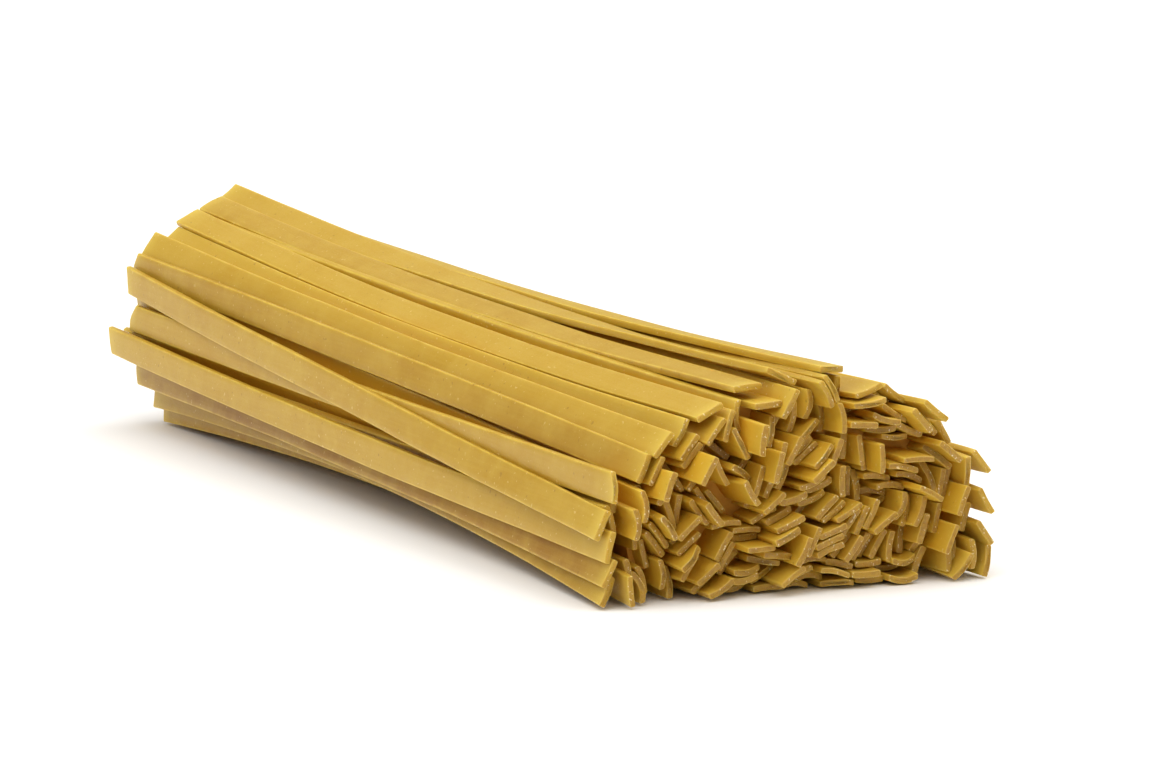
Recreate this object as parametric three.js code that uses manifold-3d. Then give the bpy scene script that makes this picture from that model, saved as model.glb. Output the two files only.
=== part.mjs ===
// A loose bundle of dry fettuccine, lying on its side. Millimetres, +Z up.
// The strands run along X, with the end that faces the viewer at +X.
import * as THREE from 'three';
import { mergeVertices } from 'three/addons/utils/BufferGeometryUtils.js';
import Module from 'manifold-3d';

// ---- driving sizes -------------------------------------------------------

const STRAND_LENGTH = 250;      // dry long pasta is cut to about 250
const STRAND_WIDTH = 6.2;
const STRAND_THICK = 1.5;
const END_SCATTER = 3.2;        // how far the cut ends stand out of line
const SCATTER_HIGH = 0.8;       // and how much more near the top
const WIDTH_SPREAD = 0.35;
const NEAR_X = 121;             // mean place of the two cut ends
const FAR_X = NEAR_X - STRAND_LENGTH;
const STACK_PITCH = 2.0;        // face to face, one strand to the next
const ROW_PITCH = 7.0;          // edge to edge
const PLACE_SPREAD = 0.6;       // how unevenly a stack is laid
const LEAN_SPREAD = 12;         // degrees
const CLEARANCE = 0.1;          // air kept between two strands
const MOST_BOW = 3.5;           // dry strands hardly bend
const EDGE_ROOM = 0.8;          // from the outline to the first mid line
const SEED = 20517;

// Outline of the bundle at its ends and at half length, where it is drawn in:
// the reach from a centre in sixteen directions, anticlockwise from +Y.
const NEAR_END = {
    centre: [2, 20],
    reach: [41.5, 34.5, 28, 26, 23.2, 24, 26.5, 32, 42.5, 44.3, 29.5, 23.5, 22, 23.5, 29.5, 46],
};
const HALF_WAY = {
    centre: [-4, 21],
    reach: [34.3, 28.5, 23, 21, 22.6, 25.6, 30, 35.4, 39.2, 37, 28.7, 22.7, 22, 23, 29.7, 37],
};
const FAR_END = {
    centre: [-10, 24],
    reach: [39, 29, 22.6, 21.8, 25, 28.5, 33, 39, 38.6, 35.2, 31.8, 26.5, 25.5, 26.5, 34, 41],
};

// How the strands lean in the near end: patches of y, z and degrees from +Y.
const PATCHES = [
    [-24, 28, 67], [-17, 20, -51], [-29, 14, -75], [-20, 10, 50], [-10, 12, -4],
    [-6, 16, 33], [5, 18, 20], [8, 8, 62], [20, 7, 57], [26, 13, 67],
    [-6, 2, -3], [23, 2, 4], [24, 33, -36], [23, 23, -4], [37, 17, 82],
    [-34, 5, 84], [-1, 35, 62], [9, 35, 88], [3, 27, 45], [13, 25, 88],
    [-6, 26, 73], [15, 40, -12], [36, 27, -52], [34, 5, 78], [8, 1, 3],
];

// Strands that can be told apart in the outer layer:
// near y, z, lean; far y, z, lean; bow to +Y and up at half length; near and
// far end past the mean cut.
const SHOWN = [
    [-41.2, 16.3, 62, -44.4, 32.6, 88, 0, -0.4, 0.5, -1.0],     // broad strand, left
    [-39.4, 23.5, 88, -45.0, 24.4, 86, 0, -0.4, 1.0, -2.5],     // crossed under it
    [-40.1, 11.8, 80, -47.8, 18.4, 94, 0, -0.8, 1.2, 4.0],
    [-40.2, 6.6, 74, -43.6, 12.2, 84, 1.0, 1.2, 1.4, -2.0],
    [-41.2, 3.4, 62, -39.6, 6.6, 86, 2.4, 3.9, 0.8, -3.0],
    [-36.2, 3.3, 94, -37.4, 3.4, 80, 2.4, 3.5, 3.0, -4.0],
    [-32.6, 27.0, 63, -43.6, 35.8, 76, 0, 0.4, 0.6, 0.0],
    [-28.9, 31.5, 50, -40.4, 40.6, 52, 0, -1.4, 1.2, -1.0],
    [-24.2, 33.4, 66, -36.4, 42.6, 40, 0, -2.4, 0.0, -4.0],
    [-18.4, 37.1, 27, -31.8, 46.4, 24, 0, -3.0, 0.5, -3.0],    // broad strand, top
    [-6.0, 37.9, 2, -24.4, 45.6, 8, 0, -2.2, 1.5, -6.0],
    [-8.6, 41.0, 4, -24.0, 48.4, 20, 0, -2.8, -3.0, 1.0],
    [-0.4, 42.4, -29, -19.6, 50.0, 24, 0, -2.8, -3.4, 4.0],    // pale top strand
    [9.6, 43.2, -9, -15.2, 49.4, -22, 0, -3.3, -1.5, 1.5],      // crest
    [11.4, 38.6, 88, -2.0, 41.8, 20, 0, -2.0, -3.0, 0.0],
    [41.0, 23.6, -51, 17.0, 30.0, -60, 0, -1.0, 2.0, 0.0],     // tips, right
    [41.4, 15.4, -56, 22.0, 20.0, -76, 0, 0.0, 2.5, 0.0],
    [41.6, 8.6, -48, 23.0, 11.0, -84, 0, 0.0, 2.0, 0.0],
    [43.2, 3.3, 74, 21.0, 4.0, 80, 0, 0.8, 1.5, 0.0],
];

// Solid that the strands stand out of.
const CORE_INSET = 1.0;         // behind the outer faces
const CORE_RECESS = 6.5;        // behind the cut ends
const CORE_SIDES = 28;
const CORE_RINGS = 4;
const CORE_LOOKS = 4;           // directions looked along for each side
const CORE_FLOOR = 0.7;         // underside of the solid, off the floor
const STRAND_RINGS = 4;         // and one fewer where a strand is nearly straight
const LITTLE_BOW = 2.2;
const STUB_ROOT = 3.0;          // how far an inner end is let into the core
const FINEST = 0.12;             // smaller steps in the joined skin are smoothed away
const TOUCH_GAP = 0.02;

const SETTLE_STEPS = 90;
const SETTLE_STATIONS = [-1, -0.9, -0.7, -0.35, 0, 0.35, 0.7, 0.9, 1];

const PASTA_COLOUR = '#d3ab4d';

// ---- small helpers -------------------------------------------------------

// Seeded draws, the same on every run.
function makeDraw(seed) {
    let state = seed >>> 0;
    return () => {
        state = (state + 0x6d2b79f5) >>> 0;
        let t = state;
        t = Math.imul(t ^ (t >>> 15), t | 1);
        t ^= t + Math.imul(t ^ (t >>> 7), t | 61);
        return ((t ^ (t >>> 14)) >>> 0) / 4294967296;
    };
}

const lerp = (a, b, t) => a + (b - a) * t;
const clamp = (v, lo, hi) => Math.min(hi, Math.max(lo, v));
const radians = (deg) => deg * Math.PI / 180;

// Reach of an end's outline in the direction of an angle.
function reachAt(end, angle) {
    const n = end.reach.length;
    const turn = ((angle / (2 * Math.PI)) % 1 + 1) % 1;
    const k = Math.floor(turn * n) % n;
    return lerp(end.reach[k], end.reach[(k + 1) % n], turn * n - Math.floor(turn * n));
}

// ---- where the strands lie ------------------------------------------------

// Rows of strands stacked in each patch, kept where that patch is nearest.
function stackPatches(draw) {
    const seeds = [];
    const [cy, cz] = NEAR_END.centre;
    PATCHES.forEach(([py, pz, lean], patch) => {
        const a = radians(lean);
        for (let row = -6; row <= 6; row += 1) {
            for (let col = -4; col <= 4; col += 1) {
                const u = col * ROW_PITCH + (row % 2 ? 0.5 : 0) * ROW_PITCH * 0.6;
                const v = row * STACK_PITCH;
                const y = py + u * Math.cos(a) - v * Math.sin(a) + (draw() - 0.5) * PLACE_SPREAD;
                const z = pz + u * Math.sin(a) + v * Math.cos(a) + (draw() - 0.5) * PLACE_SPREAD;
                const turn = (draw() - 0.5) * LEAN_SPREAD;
                const inside = Math.hypot(y - cy, z - cz)
                    < reachAt(NEAR_END, Math.atan2(z - cz, y - cy)) - EDGE_ROOM;
                const gap = (p) => Math.hypot(y - p[0], z - p[1]);
                const nearest = PATCHES.every((p, i) => i === patch || gap(p) >= gap(PATCHES[patch]));
                const free = SHOWN.every((s) => gap(s) > 3.4);
                if (inside && nearest && free) {
                    seeds.push({ y, z, lean: lean + turn });
                }
            }
        }
    });
    return seeds;
}

// A place of the near end in another outline, swung and moved out by a little.
function carryTo(outline, y, z, swing, out) {
    const [ny, nz] = NEAR_END.centre;
    const angle = Math.atan2(z - nz, y - ny);
    const part = Math.hypot(y - ny, z - nz) / reachAt(NEAR_END, angle);
    const r = Math.min(0.95, part + out) * reachAt(outline, angle + swing);
    return [
        outline.centre[0] + r * Math.cos(angle + swing),
        outline.centre[1] + r * Math.sin(angle + swing),
    ];
}

function firstStrands() {
    const draw = makeDraw(SEED);
    const strands = SHOWN.map(([ny, nz, na, fy, fz, fa, across, up, out, back]) => ({
        near: [ny, nz, radians(na)],
        far: [fy, fz, radians(fa)],
        bow: [across, up, 0],
        ends: [NEAR_X + out, FAR_X - back],
        held: 0.05,
    }));
    for (const seed of stackPatches(draw)) {
        const swing = (draw() - 0.5) * 0.5;
        const out = (draw() - 0.5) * 0.16;
        const [fy, fz] = carryTo(FAR_END, seed.y, seed.z, swing, out);
        const [hy, hz] = carryTo(HALF_WAY, seed.y, seed.z, swing / 2, out / 2);
        const lean = radians(seed.lean);
        const high = 1 + SCATTER_HIGH * clamp((seed.z - 12) / 20, 0, 1);
        const shift = (draw() + draw() - 1) * 1.6 * END_SCATTER * high;
        strands.push({
            near: [seed.y, seed.z, lean],
            far: [fy, fz, lean + (draw() - 0.5) * 0.7],
            bow: [hy - (seed.y + fy) / 2, hz - (seed.z + fz) / 2, 0],
            ends: [NEAR_X + shift, FAR_X + shift + (draw() - 0.5) * END_SCATTER],
            held: 1,
        });
    }
    for (const strand of strands) {
        strand.width = STRAND_WIDTH + (draw() + draw() - 1) * WIDTH_SPREAD;
        strand.thick = STRAND_THICK + (draw() - 0.5) * 0.12;
        strand.skew = [(draw() - 0.5) * 1.4, (draw() - 0.5) * 1.4];
    }
    return strands;
}

// A strand's y, z and lean at a station from -1, far, to 1, near.
function placeAt(strand, s) {
    return [0, 1, 2].map((i) => (
        lerp(strand.far[i], strand.near[i], (s + 1) / 2) + strand.bow[i] * (1 - s * s)
    ));
}

// Closest points of two strands' mid lines in one cross-section.
function closestPoints(a, b, ha, hb) {
    const ends = (p, h) => [-1, 1].map((k) => [p[0] + k * h * Math.cos(p[2]), p[1] + k * h * Math.sin(p[2])]);
    let best = null;
    const test = (from, onto, half, fromIsA) => {
        for (const e of ends(...from)) {
            const dy = e[0] - onto[0];
            const dz = e[1] - onto[1];
            const t = clamp(dy * Math.cos(onto[2]) + dz * Math.sin(onto[2]), -half, half);
            const foot = [onto[0] + t * Math.cos(onto[2]), onto[1] + t * Math.sin(onto[2])];
            const gap = Math.hypot(e[0] - foot[0], e[1] - foot[1]);
            if (!best || gap < best.gap) {
                best = fromIsA ? { gap, a: e, b: foot } : { gap, a: foot, b: e };
            }
        }
    };
    test([a, ha], b, hb, true);
    test([b, hb], a, ha, false);
    return best;
}

// Whether the two mid lines cross.
function linesCross(a, b, ha, hb) {
    const det = Math.sin(b[2] - a[2]);
    if (Math.abs(det) < 1e-6) return false;
    const dy = b[0] - a[0];
    const dz = b[1] - a[1];
    const t = (dy * Math.sin(b[2]) - dz * Math.cos(b[2])) / det;
    const u = (dy * Math.sin(a[2]) - dz * Math.cos(a[2])) / det;
    return Math.abs(t) < ha && Math.abs(u) < hb;
}

// Move y, z and lean at a station, shared out over the strand's two ends.
function nudge(strand, s, move) {
    for (let i = 0; i < 3; i += 1) {
        strand.near[i] += strand.held * move[i] * (1 + s) / 2;
        strand.far[i] += strand.held * move[i] * (1 - s) / 2;
        strand.bow[i] += strand.held * move[i] * (1 - s * s) * 0.3;
        strand.bow[i] = clamp(strand.bow[i], -MOST_BOW, MOST_BOW);
    }
}

// Push overlapping strands apart, and all of them inside the outline.
function settle(strands) {
    for (let step = 0; step < SETTLE_STEPS; step += 1) {
        for (const s of SETTLE_STATIONS) {
            const at = strands.map((strand) => placeAt(strand, s));
            const half = strands.map((strand) => (strand.width - strand.thick) / 2);
            const moves = strands.map(() => [0, 0, 0]);
            const push = (i, point, ny, nz, amount) => {
                const ry = point[0] - at[i][0];
                const rz = point[1] - at[i][1];
                moves[i][0] += ny * amount;
                moves[i][1] += nz * amount;
                moves[i][2] += (ry * nz - rz * ny) * amount / 12;
            };
            for (let i = 0; i < strands.length; i += 1) {
                for (let j = i + 1; j < strands.length; j += 1) {
                    const dy = at[i][0] - at[j][0];
                    const dz = at[i][1] - at[j][1];
                    const far = Math.hypot(dy, dz);
                    if (far > STRAND_WIDTH + 1.5) continue;
                    const need = (strands[i].thick + strands[j].thick) / 2 + CLEARANCE;
                    if (linesCross(at[i], at[j], half[i], half[j])) {
                        const n = [dy / (far + 1e-6), dz / (far + 1e-6)];
                        push(i, at[i], n[0], n[1], need / 3);
                        push(j, at[j], -n[0], -n[1], need / 3);
                        continue;
                    }
                    const close = closestPoints(at[i], at[j], half[i], half[j]);
                    if (close.gap >= need) continue;
                    const ny = (close.a[0] - close.b[0]) / (close.gap + 1e-6);
                    const nz = (close.a[1] - close.b[1]) / (close.gap + 1e-6);
                    push(i, close.a, ny, nz, (need - close.gap) / 3);
                    push(j, close.b, -ny, -nz, (need - close.gap) / 3);
                }
            }
            strands.forEach((strand, i) => {
                for (const k of [-1, 1]) {
                    const y = at[i][0] + k * half[i] * Math.cos(at[i][2]);
                    const z = at[i][1] + k * half[i] * Math.sin(at[i][2]);
                    const low = strand.thick / 2 - z;
                    if (low > 0) push(i, [y, z], 0, 1, low * 0.7);
                    const outline = { '-1': FAR_END, 0: HALF_WAY, 1: NEAR_END }[s];
                    if (!outline || strand.held < 1) continue;
                    const oy = y - outline.centre[0];
                    const oz = z - outline.centre[1];
                    const out = Math.hypot(oy, oz);
                    const over = out - reachAt(outline, Math.atan2(oz, oy)) + strand.thick / 2;
                    if (over > 0) push(i, [y, z], -oy / out, -oz / out, over * 0.5);
                }
                nudge(strand, s, moves[i].map((m) => clamp(m, -0.6, 0.6)));
            });
        }
    }
    return strands;
}

// ---- solids ----------------------------------------------------------------

// Four corners of a strand's section at a station, anticlockwise.
function sectionAt(strand, s) {
    const [y, z, lean] = placeAt(strand, s);
    const w = strand.width / 2;
    const t = strand.thick / 2;
    return [[-w, -t], [w, -t], [w, t], [-w, t]].map(([u, v]) => [
        y + u * Math.cos(lean) - v * Math.sin(lean),
        z + u * Math.sin(lean) + v * Math.cos(lean),
    ]);
}

// Closed skin through rings of points, all of one length, from -X to +X.
function skin(rings) {
    const sides = rings[0].length;
    const points = rings.flat();
    const faces = [];
    for (let r = 0; r + 1 < rings.length; r += 1) {
        for (let k = 0; k < sides; k += 1) {
            const a = r * sides + k;
            const b = r * sides + (k + 1) % sides;
            faces.push(a, b, b + sides, a, b + sides, a + sides);
        }
    }
    const last = (rings.length - 1) * sides;
    for (let k = 1; k + 1 < sides; k += 1) {
        faces.push(0, k + 1, k);
        faces.push(last, last + k, last + k + 1);
    }
    const geometry = new THREE.BufferGeometry();
    geometry.setAttribute('position', new THREE.Float32BufferAttribute(points.flat(), 3));
    geometry.setIndex(faces);
    return geometry;
}

// A length of one strand, between two stations, its cut ends a little askew.
function strandSkin(strand, from, to, rings) {
    const [nearX, farX] = strand.ends;
    const out = [];
    for (let r = 0; r < rings; r += 1) {
        const s = lerp(from, to, r / (rings - 1));
        const x = lerp(farX, nearX, (s + 1) / 2);
        const askew = s <= -1 ? strand.skew[1] : s >= 1 ? strand.skew[0] : 0;
        out.push(sectionAt(strand, s).map(([y, z], k) => [x + (k % 3 ? askew : -askew) / 2, y, z]));
    }
    return skin(out);
}

// How far a ray from a centre runs before it leaves a section, and if it does.
function leaves(corners, cy, cz, angle) {
    const dy = Math.cos(angle);
    const dz = Math.sin(angle);
    let far = 0;
    corners.forEach(([ay, az], k) => {
        const [by, bz] = corners[(k + 1) % corners.length];
        const ey = by - ay;
        const ez = bz - az;
        const det = dy * ez - dz * ey;
        if (Math.abs(det) < 1e-9) return;
        const t = ((ay - cy) * ez - (az - cz) * ey) / det;
        const u = ((ay - cy) * dz - (az - cz) * dy) / det;
        if (t > 0 && u >= 0 && u <= 1) far = Math.max(far, t);
    });
    return far;
}

// Outer reach of all the strands at a station, with the strand that sets it.
function outlineAt(strands, s, sides) {
    const middle = [0, 1].map((i) => lerp(FAR_END.centre[i], NEAR_END.centre[i], (s + 1) / 2));
    const sections = strands.map((strand) => sectionAt(strand, s));
    const rays = [];
    for (let k = 0; k < sides; k += 1) {
        const angle = 2 * Math.PI * k / sides;
        const runs = sections.map((corners) => leaves(corners, middle[0], middle[1], angle));
        const reach = Math.max(...runs);
        rays.push({ angle, reach, owner: runs.indexOf(reach) });
    }
    return { middle, rays };
}

function coreSkin(strands) {
    const rings = [];
    const ends = [FAR_X + CORE_RECESS, NEAR_X - CORE_RECESS];
    for (let r = 0; r < CORE_RINGS; r += 1) {
        const x = clamp(lerp(FAR_X, NEAR_X, r / (CORE_RINGS - 1)), ends[0], ends[1]);
        const s = 2 * (x - FAR_X) / STRAND_LENGTH - 1;
        const { middle, rays } = outlineAt(strands, s, CORE_SIDES * CORE_LOOKS);
        rings.push(rays.filter((ray, k) => k % CORE_LOOKS === 0).map((ray, side) => {
            const beneath = Math.sin(ray.angle) < -0.75;
            const around = (beneath ? [0] : [-2, -1, 0, 1, 2]).map((d) => (
                rays[(side * CORE_LOOKS + d + rays.length) % rays.length].reach
            ));
            const reach = Math.min(...around) - (beneath ? CORE_FLOOR : CORE_INSET);
            return [
                x,
                middle[0] + reach * Math.cos(ray.angle),
                Math.max(CORE_FLOOR, middle[1] + reach * Math.sin(ray.angle)),
            ];
        }));
    }
    return skin(rings);
}

// Strands that show along the bundle, found by looking in from all round.
function outerStrands(strands) {
    const found = new Set();
    for (let s = -1; s <= 1.01; s += 0.2) {
        for (const ray of outlineAt(strands, s, 56).rays) found.add(ray.owner);
    }
    return found;
}

// ---- assembly --------------------------------------------------------------

export function layStrands() {
    const strands = settle(firstStrands());
    // Set down on the floor, and centred on the origin seen from above.
    const low = [Infinity, Infinity, Infinity];
    const high = [-Infinity, -Infinity, -Infinity];
    for (const strand of strands) {
        for (const s of SETTLE_STATIONS) {
            const x = lerp(strand.ends[1], strand.ends[0], (s + 1) / 2);
            for (const [y, z] of sectionAt(strand, s)) {
                [x, y, z].forEach((v, i) => {
                    low[i] = Math.min(low[i], v);
                    high[i] = Math.max(high[i], v);
                });
            }
        }
    }
    const centre = new THREE.Vector3((low[0] + high[0]) / 2, (low[1] + high[1]) / 2, low[2]);
    return { strands, centre };
}

function toSolid(kit, geometry) {
    const merged = mergeVertices(geometry, 1e-4);
    return new kit.Manifold(new kit.Mesh({
        numProp: 3,
        vertProperties: new Float32Array(merged.attributes.position.array),
        triVerts: new Uint32Array(merged.index.array),
    }));
}

function toGeometry(solid) {
    const mesh = solid.getMesh();
    const geometry = new THREE.BufferGeometry();
    geometry.setAttribute('position', new THREE.BufferAttribute(new Float32Array(mesh.vertProperties), 3));
    geometry.setIndex(new THREE.BufferAttribute(new Uint32Array(mesh.triVerts), 1));
    return geometry;
}

// Where two parts of the skin touch along a line, each is drawn back a little.
function partTouching(geometry) {
    geometry.computeVertexNormals();
    const { position, normal } = geometry.attributes;
    const spots = new Map();
    for (let i = 0; i < position.count; i += 1) {
        const key = [position.getX(i), position.getY(i), position.getZ(i)].map((v) => v.toFixed(3)).join();
        spots.set(key, [...(spots.get(key) ?? []), i]);
    }
    for (const same of spots.values()) {
        if (same.length < 2) continue;
        for (const i of same) {
            position.setXYZ(
                i,
                position.getX(i) - TOUCH_GAP * normal.getX(i),
                position.getY(i) - TOUCH_GAP * normal.getY(i),
                position.getZ(i) - TOUCH_GAP * normal.getZ(i),
            );
        }
    }
}

async function buildBundle() {
    const kit = await Module();
    kit.setup();
    const { strands, centre } = layStrands();
    const outer = outerStrands(strands);
    const parts = [toSolid(kit, coreSkin(strands))];
    strands.forEach((strand, i) => {
        if (outer.has(i)) {
            const straight = Math.hypot(strand.bow[0], strand.bow[1]) < LITTLE_BOW;
            parts.push(toSolid(kit, strandSkin(strand, -1, 1, STRAND_RINGS - straight)));
            return;
        }
        const reach = (end) => {
            const core = end > 0 ? NEAR_X - CORE_RECESS - STUB_ROOT : FAR_X + CORE_RECESS + STUB_ROOT;
            return 2 * (core - strand.ends[1]) / (strand.ends[0] - strand.ends[1]) - 1;
        };
        parts.push(toSolid(kit, strandSkin(strand, reach(1), 1, 2)));
        parts.push(toSolid(kit, strandSkin(strand, -1, reach(-1), 2)));
    });
    const joined = kit.Manifold.union(parts);
    // Loose scraps are dropped and sealed hollows filled: only the outer skin stays.
    const pieces = joined.asOriginal().simplify(FINEST).decompose().sort((a, b) => b.volume() - a.volume());
    const bundle = pieces[0].translate(-centre.x, -centre.y, -centre.z);
    const geometry = toGeometry(bundle);
    partTouching(geometry);
    geometry.computeVertexNormals();
    return geometry;
}

const group = new THREE.Group();
group.name = 'bundle_of_dry_pasta';

const pasta = new THREE.MeshStandardMaterial({ name: 'dry_pasta', color: PASTA_COLOUR, roughness: 0.6 });
const mesh = new THREE.Mesh(await buildBundle(), pasta);
mesh.name = 'pasta_bundle';
group.add(mesh);

export default group;
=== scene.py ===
"""A loose bundle of dry fettuccine on a pale floor, dressed for a close look.

The strands lie where the model's own strands lie, worked out from the same sizes,
with rounded edges, a little warp, cut ends and the look of dry durum dough."""

import math

import bpy
import numpy as np
from mathutils import Matrix, Vector


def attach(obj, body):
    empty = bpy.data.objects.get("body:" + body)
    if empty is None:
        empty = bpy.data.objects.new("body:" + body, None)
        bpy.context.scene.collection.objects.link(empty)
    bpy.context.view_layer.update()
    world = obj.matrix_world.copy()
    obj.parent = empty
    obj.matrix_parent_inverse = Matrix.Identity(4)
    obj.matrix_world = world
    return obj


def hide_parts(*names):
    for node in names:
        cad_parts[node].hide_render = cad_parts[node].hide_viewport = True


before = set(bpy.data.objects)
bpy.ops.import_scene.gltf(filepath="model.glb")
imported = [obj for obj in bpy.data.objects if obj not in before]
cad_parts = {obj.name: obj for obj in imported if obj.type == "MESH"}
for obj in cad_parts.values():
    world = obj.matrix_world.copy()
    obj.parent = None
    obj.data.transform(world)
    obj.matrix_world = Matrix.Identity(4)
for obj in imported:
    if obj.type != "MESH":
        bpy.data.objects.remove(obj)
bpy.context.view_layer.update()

MM = 0.001

# ---- sizes, in millimetres ---------------------------------------------------

STRAND_LENGTH = 250.0
STRAND_WIDTH = 6.2
STRAND_THICK = 1.5
WIDTH_SPREAD = 0.35
THICK_SPREAD = 0.12
SKEW_SPREAD = 1.4               # how far a cut is out of square
END_SCATTER = 3.2               # how unevenly the cut ends lie
SCATTER_HIGH = 0.8              # and how much more so high in the bundle
NEAR_X = 121.0                  # the mean near cut
FAR_X = NEAR_X - STRAND_LENGTH
STACK_PITCH = 2.0               # from strand to strand, up a stack
ROW_PITCH = 7.0                 # from stack to stack
ROW_STAGGER = 0.6               # of half of that, every other row
PLACE_SPREAD = 0.6
LEAN_SPREAD = 12                # degrees
SHOWN_ROOM = 3.4                # kept free round each listed strand
CLEARANCE = 0.1
SWING_SPREAD = 0.5              # radians round the bundle, from end to end
OUT_SPREAD = 0.16               # of the outline's reach, from end to end
TWIST_SPREAD = 0.7              # radians of a strand's own twist
MOST_BOW = 3.5
EDGE_ROOM = 0.8                 # inside the outline
SEED = 20517

# Reach of the bundle's outline from a centre, in sixteen directions from +Y.
NEAR_END = {
    "centre": (2, 20),
    "reach": (41.5, 34.5, 28, 26, 23.2, 24, 26.5, 32, 42.5, 44.3, 29.5, 23.5, 22, 23.5, 29.5, 46),
}
HALF_WAY = {
    "centre": (-4, 21),
    "reach": (34.3, 28.5, 23, 21, 22.6, 25.6, 30, 35.4, 39.2, 37, 28.7, 22.7, 22, 23, 29.7, 37),
}
FAR_END = {
    "centre": (-10, 24),
    "reach": (39, 29, 22.6, 21.8, 25, 28.5, 33, 39, 38.6, 35.2, 31.8, 26.5, 25.5, 26.5, 34, 41),
}

# Lean of the strands in the near end: patches of y, z and degrees from +Y.
PATCHES = (
    (-24, 28, 67), (-17, 20, -51), (-29, 14, -75), (-20, 10, 50), (-10, 12, -4),
    (-6, 16, 33), (5, 18, 20), (8, 8, 62), (20, 7, 57), (26, 13, 67),
    (-6, 2, -3), (23, 2, 4), (24, 33, -36), (23, 23, -4), (37, 17, 82),
    (-34, 5, 84), (-1, 35, 62), (9, 35, 88), (3, 27, 45), (13, 25, 88),
    (-6, 26, 73), (15, 40, -12), (36, 27, -52), (34, 5, 78), (8, 1, 3),
)

# Strands of the outer layer: near y, z, lean; far y, z, lean; bow to +Y and up at
# half length; near and far end past the mean cut.
SHOWN = (
    (-41.2, 16.3, 62, -44.4, 32.6, 88, 0, -0.4, 0.5, -1.0),
    (-39.4, 23.5, 88, -45.0, 24.4, 86, 0, -0.4, 1.0, -2.5),
    (-40.1, 11.8, 80, -47.8, 18.4, 94, 0, -0.8, 1.2, 4.0),
    (-40.2, 6.6, 74, -43.6, 12.2, 84, 1.0, 1.2, 1.4, -2.0),
    (-41.2, 3.4, 62, -39.6, 6.6, 86, 2.4, 3.9, 0.8, -3.0),
    (-36.2, 3.3, 94, -37.4, 3.4, 80, 2.4, 3.5, 3.0, -4.0),
    (-32.6, 27.0, 63, -43.6, 35.8, 76, 0, 0.4, 0.6, 0.0),
    (-28.9, 31.5, 50, -40.4, 40.6, 52, 0, -1.4, 1.2, -1.0),
    (-24.2, 33.4, 66, -36.4, 42.6, 40, 0, -2.4, 0.0, -4.0),
    (-18.4, 37.1, 27, -31.8, 46.4, 24, 0, -3.0, 0.5, -3.0),
    (-6.0, 37.9, 2, -24.4, 45.6, 8, 0, -2.2, 1.5, -6.0),
    (-8.6, 41.0, 4, -24.0, 48.4, 20, 0, -2.8, -3.0, 1.0),
    (-0.4, 42.4, -29, -19.6, 50.0, 24, 0, -2.8, -3.4, 4.0),
    (9.6, 43.2, -9, -15.2, 49.4, -22, 0, -3.3, -1.5, 1.5),
    (11.4, 38.6, 88, -2.0, 41.8, 20, 0, -2.0, -3.0, 0.0),
    (41.0, 23.6, -51, 17.0, 30.0, -60, 0, -1.0, 2.0, 0.0),
    (41.4, 15.4, -56, 22.0, 20.0, -76, 0, 0.0, 2.5, 0.0),
    (41.6, 8.6, -48, 23.0, 11.0, -84, 0, 0.0, 2.0, 0.0),
    (43.2, 3.3, 74, 21.0, 4.0, 80, 0, 0.8, 1.5, 0.0),
)

SHOWN_GIVE = 0.05               # how far those give way to others as all settle
SETTLE_STEPS = 90
SETTLE_MOST = 0.6               # the farthest move in one step
SETTLE_STATIONS = (-1.0, -0.9, -0.7, -0.35, 0.0, 0.35, 0.7, 0.9, 1.0)

# The fine mesh of one strand.
CORNER_ROUND = 0.34             # radius of the long edges
CORNER_STEPS = 2
FACE_POINTS = 4                 # across a broad face
OUTER_RINGS = 32
INNER_RINGS = 12                # only the ends of the inner strands show
OUTER_PART = 0.74               # of the way to the outline, where the outer layer begins
MOST_ARCH = 0.75                # rise of the most arched sections
CUT_RIM = 0.18                  # width of the worn rim around a cut face
CUT_ROUND = 0.16                # how far its edge lies behind the middle
CUT_ROUGHNESS = 0.16
PINCH_REACH = 4.0               # a strand thins towards its cuts from this far
CHIPPED_PART = 0.25             # of the cuts, with a corner gone
CORE_SIDES, CORE_RINGS = 32, 7
CORE_SHRINK = 3.0               # the hidden core lies this far behind the outer faces
CORE_RECESS = 8.0               # and this far behind the cut ends
CORE_LOW = 3.0                  # its underside
HELPERS = (                     # read by the node tree only, then dropped
    "lean", "wide", "thick", "arch", "slant", "chip", "inward", "inner", "cut_gap",
    "section", "middle",
)

# How deep in the bundle the dough is painted more amber, as painted shade and glow between the
# strands. The strands by the skin aren't.
SKIN = 2.0                      # they lie within this of it
SHADE_IN = 5.0                  # full amber is this much farther in
SHADE_BACK = 13.0               # and this far behind a cut
SHADE_LOW = 12.0                # cut faces are painted browner with shade below this height
SKIN_LENGTHS, SKIN_WEDGES = 25, 40
SHARP_FROM = 40                 # degrees between faces

# Patterns in the dough, in millimetres.
CLOUD = 22.0                    # slow changes of tone
BLOTCH = 5.0
DIE_LINE = 0.67                 # finer on the real strands, and drawn as coarse as shows
DIE_LINE_RUN = 22.0             # its length
DIE_LINE_DEPTH = 0.07
GRAIN = 0.38                    # semolina grit, drawn as coarse as shows
FLOUR_SPECK = 0.67
BRAN_SPECK = 1.1
BREAK_MOTTLE = 0.9
BREAK_FACET = 0.5
BREAK_DEPTH = 0.15
GLOW_PART = 0.7                 # of the light enters the dough
GLOW_REACH = 0.9                # and wanders this far in it
GLOW_BY_COLOUR = (1.0, 0.85, 0.6)   # red light the farthest
PAINTED_TIP_GLOW = 3.5                  # how far the painted glow that lightens a cut tip reaches
CORE_LINE, CORE_LINE_RUN = 2.0, 33.0
PAPER_MOTTLE = 330.0

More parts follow.
